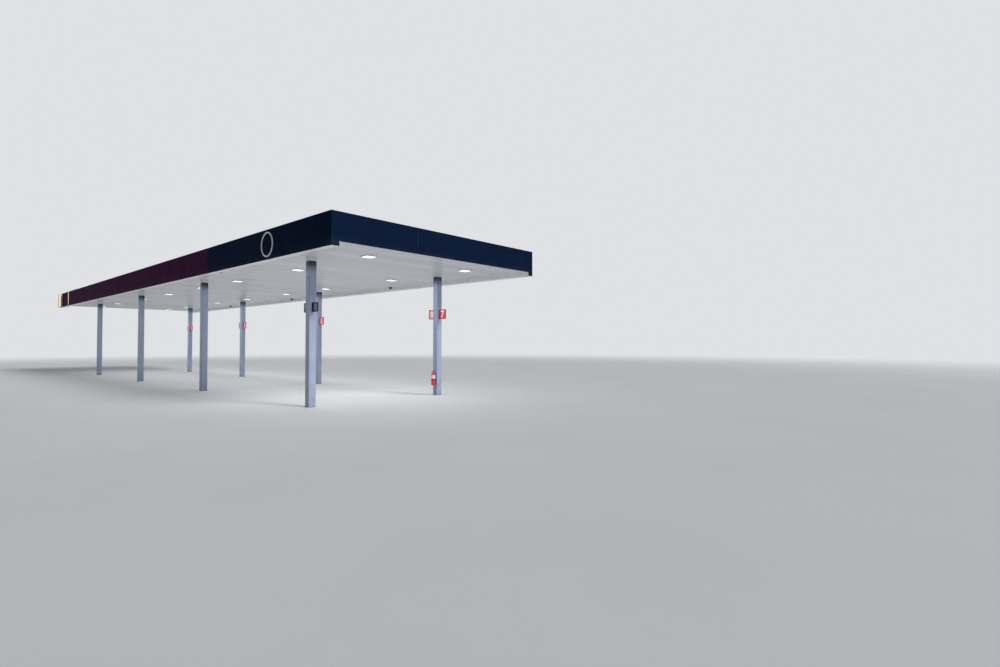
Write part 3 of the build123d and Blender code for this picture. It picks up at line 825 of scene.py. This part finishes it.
class CANOPY_OT_add_lamp_details(bpy.types.Operator):
    """Add bezels and screws to the lamps, lids on their driver boxes and the conduit that feeds them"""

    bl_idname = "canopy.add_lamp_details"
    bl_label = "Lamp bezels and conduit"

    def execute(self, context):
        sizes = context.scene.canopy_details
        bottom = float(LAMPS[0, 0, 2])
        lid_foot = SOFFIT + PAN_SHEET + DRIVER_HEIGHT
        lid_top, body_top = lid_foot + 0.002, RIB_TOP + 0.002
        # Half sizes of a lid and of a conduit body, and the body's place along the lid
        lid_x, lid_y, body_x, body_y, drop = 0.168, 0.108, 0.03, 0.022, 0.13
        screw_shift, screw_height = 0.13, 0.020
        loop, outward = rounded_loop(LENS_HALF, LENS_HALF, 0.006, 3)
        # A low half-round gasket frame in section, which overlaps the lens's edge
        gasket = [(-0.007, 0), (-0.005, 0.004), (0.002, 0.004), (0.005, 0)]
        bezels, lids, bodies = [], [], []
        screws = {side: [] for side in ((1, 0), (-1, 0), (0, 1), (0, -1))}
        for low, high in LAMPS:
            x, y, _ = (low + high) / 2
            half = (high[0] - low[0]) / 2
            bezels.append(ring(gasket, loop + (x, y, bottom), outward, -Z))
            for (a, b), spots in screws.items():
                for s in (-screw_shift, screw_shift):
                    spots.append((x + a * half + abs(b) * s, y + b * half + abs(a) * s, bottom + screw_height))
            lids.append(plate((x - lid_x, y - lid_y, lid_foot), (x + lid_x, y + lid_y, lid_top)))
            x += drop
            bodies.append(plate((x - body_x, y - body_y, lid_top), (x + body_x, y + body_y, body_top)))
        radius = sizes.conduit / 2
        tube, band = (arc(r, (0, 0), 0, 330, 12) for r in (radius, radius + 0.0015))
        tubes, saddles = [], []
        for sign in (-1, 1):
            row = LAMPS[np.sign(middles(LAMPS)[:, 1]) == sign]
            start = np.array([row[:, 0, 0].min() + 0.2, middles(row)[:, 1].mean(), RIB_TOP + radius])
            end = row[:, 1, 0].max() - 0.04
            tubes.append(bar(tube, start, (end, *start[1:]), Y, Z))
            # A saddle on every third rib
            for x in np.arange(start[0] + 0.6, end, 3 * PAN_MODULE):
                saddles.append(bar(band, (x, *start[1:]), (x + 0.02, *start[1:]), Y, Z))
        heads = [copies(screw_shape(RIVET), spots, (*side, 0)) for side, spots in screws.items()]
        add_piece("lamp_bezels", merged(bezels), "powder")
        add_piece("lamp_screws", merged(heads), "zinc")
        add_piece("driver_lids", merged(lids), "powder", bevel=0.0008)
        add_piece("conduit_bodies", merged(bodies), "zinc", bevel=0.003)
        add_piece("lamp_conduits", merged(tubes), "zinc", smooth=True)
        add_piece("conduit_saddles", merged(saddles), "zinc", smooth=True)
        return {"FINISHED"}


class CANOPY_OT_add_dome_cameras(bpy.types.Operator):
    """Replace the plain camera solids by turned bases with round smoked domes"""

    bl_idname = "canopy.add_dome_cameras"
    bl_label = "Dome cameras"

    def execute(self, context):
        low, high = CAMERAS[0]
        radius, height, sides = (high[0] - low[0]) / 2, high[2] - low[2], 40
        dome = 0.85 * radius
        seat = height - dome
        base = [(radius * 0.96, 0), (radius, 0.004), (radius, seat - 0.012), (radius - 0.006, seat - 0.002)]
        base = turned([*base, (dome + 0.002, seat)], sides)
        shell = turned(arc(dome, (0, seat - 0.002), 0, 88, 14), sides)
        centres = middles(CAMERAS) * (1, 1, 0) + high[2] * Z
        add_piece("camera_bases", copies(base, centres, -Z), "bracket", smooth=True)
        piece = add_piece("camera_domes", copies(shell, centres, -Z), "dome", smooth=True)
        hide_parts("dome_cameras")
        return {"FINISHED"}


def digit_shape(text, height, thickness):
    """Digits as a solid standing in XZ, centred, front to -Y, made from the built-in font's outline."""
    curve = bpy.data.curves.new("digits", "FONT")
    curve.body = text
    # A digit of the built-in font is 0.7 of its size high
    curve.size = height / 0.7
    curve.extrude = thickness / 2
    curve.offset = 0.045 * height
    curve.resolution_u = 3
    holder = bpy.data.objects.new("digits", curve)
    mesh = bpy.data.meshes.new_from_object(holder)
    points = np.empty(len(mesh.vertices) * 3)
    mesh.vertices.foreach_get("co", points)
    points = points.reshape(-1, 3)
    faces = [list(p.vertices) for p in mesh.polygons]
    bpy.data.objects.remove(holder)
    bpy.data.curves.remove(curve)
    points -= (points.max(0) + points.min(0)) / 2
    return np.stack([points[:, 0], -points[:, 2], points[:, 1]], -1), faces


def frame_round(low, high, y, width, depth, sign):
    """A flat frame round a rectangle in XZ at Y = y, standing out towards sign Y: one outline swept round it."""
    (x0, z0), (x1, z1) = low, high
    path = [(x0, y, z0), (x1, y, z0), (x1, y, z1), (x0, y, z1)]
    inward = [(1, 0, 1), (-1, 0, 1), (-1, 0, -1), (1, 0, -1)]
    outline = [(0, 0), (width, 0), (width, depth * 0.6), (0.7 * width, depth), (0, depth)]
    return ring(outline, path, inward, sign * Y)


class CANOPY_OT_add_flag_details(bpy.types.Operator):
    """Add frames, faces, digits and screws to the number flags"""

    bl_idname = "canopy.add_flag_details"
    bl_label = "Number flags"

    def execute(self, context):
        sizes = context.scene.canopy_details
        frame_depth, gap, inset = 0.004, 0.020, 0.008
        margin, sheet, digit_sheet = sizes.flag_frame * 0.9, 0.0015, 0.003
        frames, digits, faces, screws = {"red": [], "black": []}, {"red": [], "black": []}, [], []
        for kind, share in (("red", 1), ("black", 0.8)):
            boxes = sorted(solid_boxes(f"number_flags_{kind}"), key=lambda box: -box[0, 0])
            for number, (low, high) in enumerate(boxes):
                x, y, z = (low + high) / 2
                z0, z1 = low[2], high[2]
                # The flag's box takes in its arm, and the flag itself starts a gap away from the column
                column = min(middles(COLUMNS)[:, 0], key=lambda c: abs(c - x))
                towards = 1 if x > column else -1
                inner = column + towards * (sizes.column_size / 2 + gap)
                x0, x1 = sorted((inner, high[0] if towards > 0 else low[0]))
                # Two numbers a column, counted from the far end of the roof
                text = str(7 - 2 * (number // 2) + number % 2) if kind == "red" else str(number + 8)
                for sign in (-1, 1):
                    face = y + sign * FLAG_THICKNESS / 2
                    frames[kind].append(
                        frame_round((x0, z0), (x1, z1), face, sizes.flag_frame, frame_depth, sign)
                    )
                    if kind == "black":
                        y0, y1 = sorted((face, face + sign * sheet))
                        faces.append(plate((x0 + margin, y0, z0 + margin), (x1 - margin, y1, z1 - margin)))
                    points, outline = digit_shape(text, sizes.digit_height * share, digit_sheet)
                    # On the rear face the digit is turned half round
                    place = np.array([(x0 + x1) / 2, face + sign * 0.4 * digit_sheet, z])
                    digits[kind].append((points * (-sign, -sign, 1) + place, outline))
                    corners = [(a, b) for a in (x0 + inset, x1 - inset) for b in (z0 + inset, z1 - inset)]
                    screws += [(a, face + sign * frame_depth, b, sign) for a, b in corners]
        add_piece("flag_frames_red", merged(frames["red"]), "red", bevel=0.001)
        add_piece("flag_frames_black", merged(frames["black"]), "black", bevel=0.001)
        add_piece("flag_faces_grey", merged(faces), "pale")
        add_piece("flag_digits_white", merged(digits["red"]), "digit")
        add_piece("flag_digits_grey", merged(digits["black"]), "grey digit")
        add_piece("flag_screws", screws_along_y(FLAG_SCREW, screws), "zinc")
        return {"FINISHED"}


class CANOPY_OT_add_extinguisher(bpy.types.Operator):
    """Replace the plain extinguisher by a turned vessel with valve, levers, gauge, nozzle and strap"""

    bl_idname = "canopy.add_extinguisher"
    bl_label = "Fire extinguisher"

    def execute(self, context):
        low, high = corners_of("fire_extinguisher")
        hanger_low, hanger_high = corners_of("extinguisher_hanger")
        radius, neck, skin = 0.080, 0.026, 0.001
        centre = np.array([(hanger_low[0] + hanger_high[0]) / 2, hanger_low[1] - radius, low[2]])
        # Heights of the shoulder's foot and of the valve's seat over the vessel's foot
        seat = float(high[2] - low[2]) - 0.074
        wall = seat - 0.071
        body = [(0.030, 0.004), (0.066, 0.0), (0.075, 0.004), (0.0795, 0.014), (radius, 0.025), (radius, wall)]
        shoulder = arc(radius - neck, (neck, wall), 0, 80, 9) * (1, 1.25) - (0, wall * 0.25)
        vessel = copies(turned([*body, *shoulder, (neck, seat + 0.002)], 48), [centre])
        piece = add_piece("extinguisher_vessel", vessel, "vessel", smooth=True)
        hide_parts("fire_extinguisher")
        # The valve's body, the gauge in front of it and the nozzle beside it
        stem = [(neck, 0), (neck, 0.012), (0.018, 0.016), (0.018, 0.040), (0.014, 0.044)]
        gauge = [(0.016, 0), (0.017, 0.003), (0.017, 0.010), (0.014, 0.012)]
        nozzle = [(0.008, 0), (0.009, 0.012), (0.013, 0.030), (0.012, 0.034)]
        valve = merged([
            copies(turned(stem, 24), [centre + seat * Z]),
            copies(turned(gauge, 20), [centre + (0, -0.016, seat + 0.028)], -Y),
            copies(turned(nozzle, 16), [centre + (0.016, 0, seat + 0.026)], X),
        ])
        add_piece("extinguisher_valve", valve, "brass", smooth=True)
        # A pressed lever: a shallow channel in section, carried along a line that rises to its end
        channel = [(-0.011, 0), (0.011, 0), (0.011, 0.008), (0.009, 0.008), (0.009, 0.002), (-0.009, 0.002)]
        channel += [(-0.009, 0.008), (-0.011, 0.008)]
        levers = []
        for z, tilt in ((seat + 0.040, 0.0), (seat + 0.062, 0.004)):
            line = [(0.030, 0, z), (0.0, 0, z), (-0.05, 0, z + 0.3 * tilt), (-0.094, 0, z + tilt)]
            levers.append(swept(channel, line + centre, np.tile(Y, (4, 1)), np.tile(Z, (4, 1))))
        levers.append(plate(centre + (-0.012, -0.006, seat + 0.04), centre + (0.018, 0.006, seat + 0.07)))
        add_piece("extinguisher_levers", merged(levers), "bracket", bevel=0.0008)
        band = [(radius + 0.0006, 0), (radius + 0.0014, 0.003), (radius + 0.0014, 0.127), (radius + 0.0006, 0.13)]
        band = copies(turned(band, 48), [centre + 0.255 * Z])
        add_piece("extinguisher_band", band, "ring", smooth=True)
        loop, outward = rounded_loop(radius + skin, radius + skin, radius, 10)
        section = [(0, 0), (0.0025, 0), (0.0025, 0.024), (0, 0.024)]
        strap = ring(section, loop + centre + 0.2 * Z, outward, Z)
        add_piece("extinguisher_strap", strap, "bracket")
        return {"FINISHED"}


class CANOPY_OT_add_front_marks(bpy.types.Operator):
    """Replace the plain sign solid by a lit box with a frame, and add studs to the ring"""

    bl_idname = "canopy.add_front_marks"
    bl_label = "Sign and ring"

    def execute(self, context):
        low, high = corners_of("end_sign_box")
        inset, rim, skin, corner = 0.008, 0.030, 0.001, 0.030
        half, depth = (high - low) / 2, high[1] - low[1]
        origin = (low + high) / 2 * (1, 0, 1) + high[1] * Y
        loop, outward = rounded_loop(half[0] - skin, half[2] - skin, corner)
        # The loop stands upright: its second direction is Z
        path, away = (points[:, [0, 2, 1]] for points in (loop, outward))
        # The pressed surround in section: side wall, rounded front edge, rim and return to the face
        side = [(0, 0), (0, depth - 0.006), (-0.002, depth - 0.002), (-0.006, depth), (-rim, depth)]
        side += [(-rim, depth - inset), (-rim + 0.004, depth - inset), (-0.006, depth - inset), (-0.006, 0)]
        piece = add_piece("sign_surround", ring(side, path + origin, away, -Y), "powder", bevel=0.001)
        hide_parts("end_sign_box")
        face = bar(loop[:, :2] * 0.985, origin, origin - (depth - inset) * Y, X, Z)
        add_piece("sign_face_sheet", face, "sign")
        low, high = corners_of("fascia_ring")
        radius = (high[0] - low[0] - RING_BAND) / 2
        angles = np.radians(np.arange(8) * 45 + 22.5)
        centre = (low + high) / 2 * (1, 0, 1) + low[1] * Y
        places = centre + radius * (np.outer(np.cos(angles), X) + np.outer(np.sin(angles), Z))
        stud = turned([(0.008, 0), (0.008, 0.001), (0.005, 0.0025)], 12)
        add_piece("ring_studs", copies(stud, places, -Y), "zinc")
        return {"FINISHED"}


class CANOPY_OT_set_stage(bpy.types.Operator):
    """Set the studio floor, the soft light and the camera"""

    bl_idname = "canopy.set_stage"
    bl_label = "Studio and camera"

    def execute(self, context):
        stage = context.scene.canopy_stage
        angles = np.linspace(0, 2 * np.pi, 97)[:-1]
        rim = np.stack([np.cos(angles), np.sin(angles), 0 * angles], -1) * stage.floor_radius
        mesh = bpy.data.meshes.new("studio_floor")
        mesh.from_pydata(rim.tolist(), [], [list(range(len(rim)))])
        mesh.materials.append(self.floor_finish(stage.floor_radius))
        self.shown(context, "studio_floor", mesh)
        self.set_world(context)
        self.add_lights(context)
        camera = self.shown(context, "camera", bpy.data.cameras.new("camera"))
        camera.data.lens = stage.lens
        camera.data.sensor_width = 36
        camera.data.clip_end = 500
        camera.location = stage.eye
        camera.rotation_euler = (math.pi / 2 + stage.rise, 0, stage.heading)
        context.scene.camera = camera
        context.scene.view_settings.view_transform = "Standard"
        return {"FINISHED"}

    def shown(self, context, name, data):
        """A new object of the scene with the given data."""
        holder = bpy.data.objects.new(name, data)
        context.scene.collection.objects.link(holder)
        return holder

    def floor_finish(self, radius):
        # Pale matt studio floor that fades into the background towards its rim.
        material, tree, shader, place = base_finish("studio_paper", linear("d6d7d8"), 0.9)
        blotches = cloud(tree, place, 4.0, 0.4, 0.7, 0.5)
        painted(tree, shader.inputs["Base Color"], linear("d6d7d8"), ("cfd0d1", blotches))
        shader.inputs["Specular IOR Level"].default_value = 0.15
        distance = add(tree, "ShaderNodeVectorMath", {0: place}, operation="LENGTH").outputs["Value"]
        clearness = add(
            tree, "ShaderNodeMapRange", {"Value": distance, "From Min": 0.35 * radius, "From Max": 0.95 * radius},
            interpolation_type="SMOOTHSTEP",
        ).outputs["Result"]
        clear = add(tree, "ShaderNodeBsdfTransparent").outputs["BSDF"]
        mix = add(tree, "ShaderNodeMixShader", {0: clearness, 1: shader.outputs["BSDF"], 2: clear})
        tree.links.new(mix.outputs["Shader"], tree.nodes["Material Output"].inputs["Surface"])
        return material

    def set_world(self, context):
        world = bpy.data.worlds.new("studio")
        context.scene.world = world
        world.use_nodes = True
        tree = world.node_tree
        path = add(tree, "ShaderNodeLightPath").outputs
        seen = worked_out(
            tree, path["Is Camera Ray"], ("MAXIMUM", path["Is Glossy Ray"]), ("MAXIMUM", path["Is Transmission Ray"])
        )
        lit = tree.nodes["Background"]
        lit.inputs["Color"].default_value = linear("e9eef5")
        # The studio is dimmer in front of the long side, so that the fascia reads darker there than at the end
        direction = add(tree, "ShaderNodeTexCoord").outputs["Generated"]
        level = add(tree, "ShaderNodeMapRange", {
            "Value": add(tree, "ShaderNodeSeparateXYZ", {0: direction}).outputs["Y"],
            "From Min": -0.8, "From Max": 0.3, "To Min": 0.14, "To Max": 0.43,
        })
        tree.links.new(level.outputs["Result"], lit.inputs["Strength"])
        pale = add(tree, "ShaderNodeBackground", {"Color": linear("dfe1e4"), "Strength": 1.0}).outputs["Background"]
        mix = add(tree, "ShaderNodeMixShader", {0: seen, 1: lit.outputs["Background"], 2: pale})
        tree.links.new(mix.outputs["Shader"], tree.nodes["World Output"].inputs["Surface"])

    def add_lights(self, context):
        # Two long strips under the ceiling stand for the light that the lamps give it
        for sign in (-1, 1):
            strip = bpy.data.lights.new("roof_strip", "AREA")
            strip.shape, strip.size, strip.size_y = "RECTANGLE", 33.0, 0.5
            strip.energy = 260
            holder = self.shown(context, "roof_strip", strip)
            holder.location = (0, -0.5 + 1.2 * sign, SOFFIT - 0.12)
            holder.visible_camera = holder.visible_glossy = False
        for name, energy, spread, tilt, turn in (
            ("key_sun", 2.4, 18, 60, 102),
            ("fill_sun", 0.05, 40, 55, -20),
        ):
            light = bpy.data.lights.new(name, "SUN")
            light.energy = energy
            light.angle = math.radians(spread)
            self.shown(context, name, light).rotation_euler = (math.radians(tilt), 0, math.radians(turn))


class CANOPY_PT_looks(bpy.types.Panel):
    """Lists the canopy's operators and settings"""

    bl_idname = "CANOPY_PT_looks"
    bl_label = "Canopy"
    bl_space_type = "VIEW_3D"
    bl_region_type = "UI"
    bl_category = "Canopy"

    def draw(self, context):
        for operator in OPERATORS:
            self.layout.operator(operator.bl_idname)
        for group in GROUPS:
            settings = getattr(context.scene, group)
            box = self.layout.box()
            for name in settings.__annotations__:
                box.prop(settings, name)


OPERATORS = (
    CANOPY_OT_finish_nodes,
    CANOPY_OT_add_column_details,
    CANOPY_OT_add_steel_bolts,
    CANOPY_OT_add_deck_clips,
    CANOPY_OT_add_gutter_details,
    CANOPY_OT_add_fascia_details,
    CANOPY_OT_add_lamp_details,
    CANOPY_OT_add_dome_cameras,
    CANOPY_OT_add_flag_details,
    CANOPY_OT_add_extinguisher,
    CANOPY_OT_add_front_marks,
    CANOPY_OT_set_stage,
)
GROUPS = {"canopy_colours": CanopyColours, "canopy_details": CanopyDetails, "canopy_stage": CanopyStage}
CLASSES = (*GROUPS.values(), *OPERATORS, CANOPY_PT_looks)


def register():
    for cls in CLASSES:
        bpy.utils.register_class(cls)
    for name, group in GROUPS.items():
        setattr(bpy.types.Scene, name, bpy.props.PointerProperty(type=group))


def unregister():
    for name in GROUPS:
        delattr(bpy.types.Scene, name)
    for cls in reversed(CLASSES):
        bpy.utils.unregister_class(cls)


def main():
    register()
    for operator in OPERATORS:
        group, name = operator.bl_idname.split(".")
        getattr(getattr(bpy.ops, group), name)()


if __name__ == "__main__":
    main()
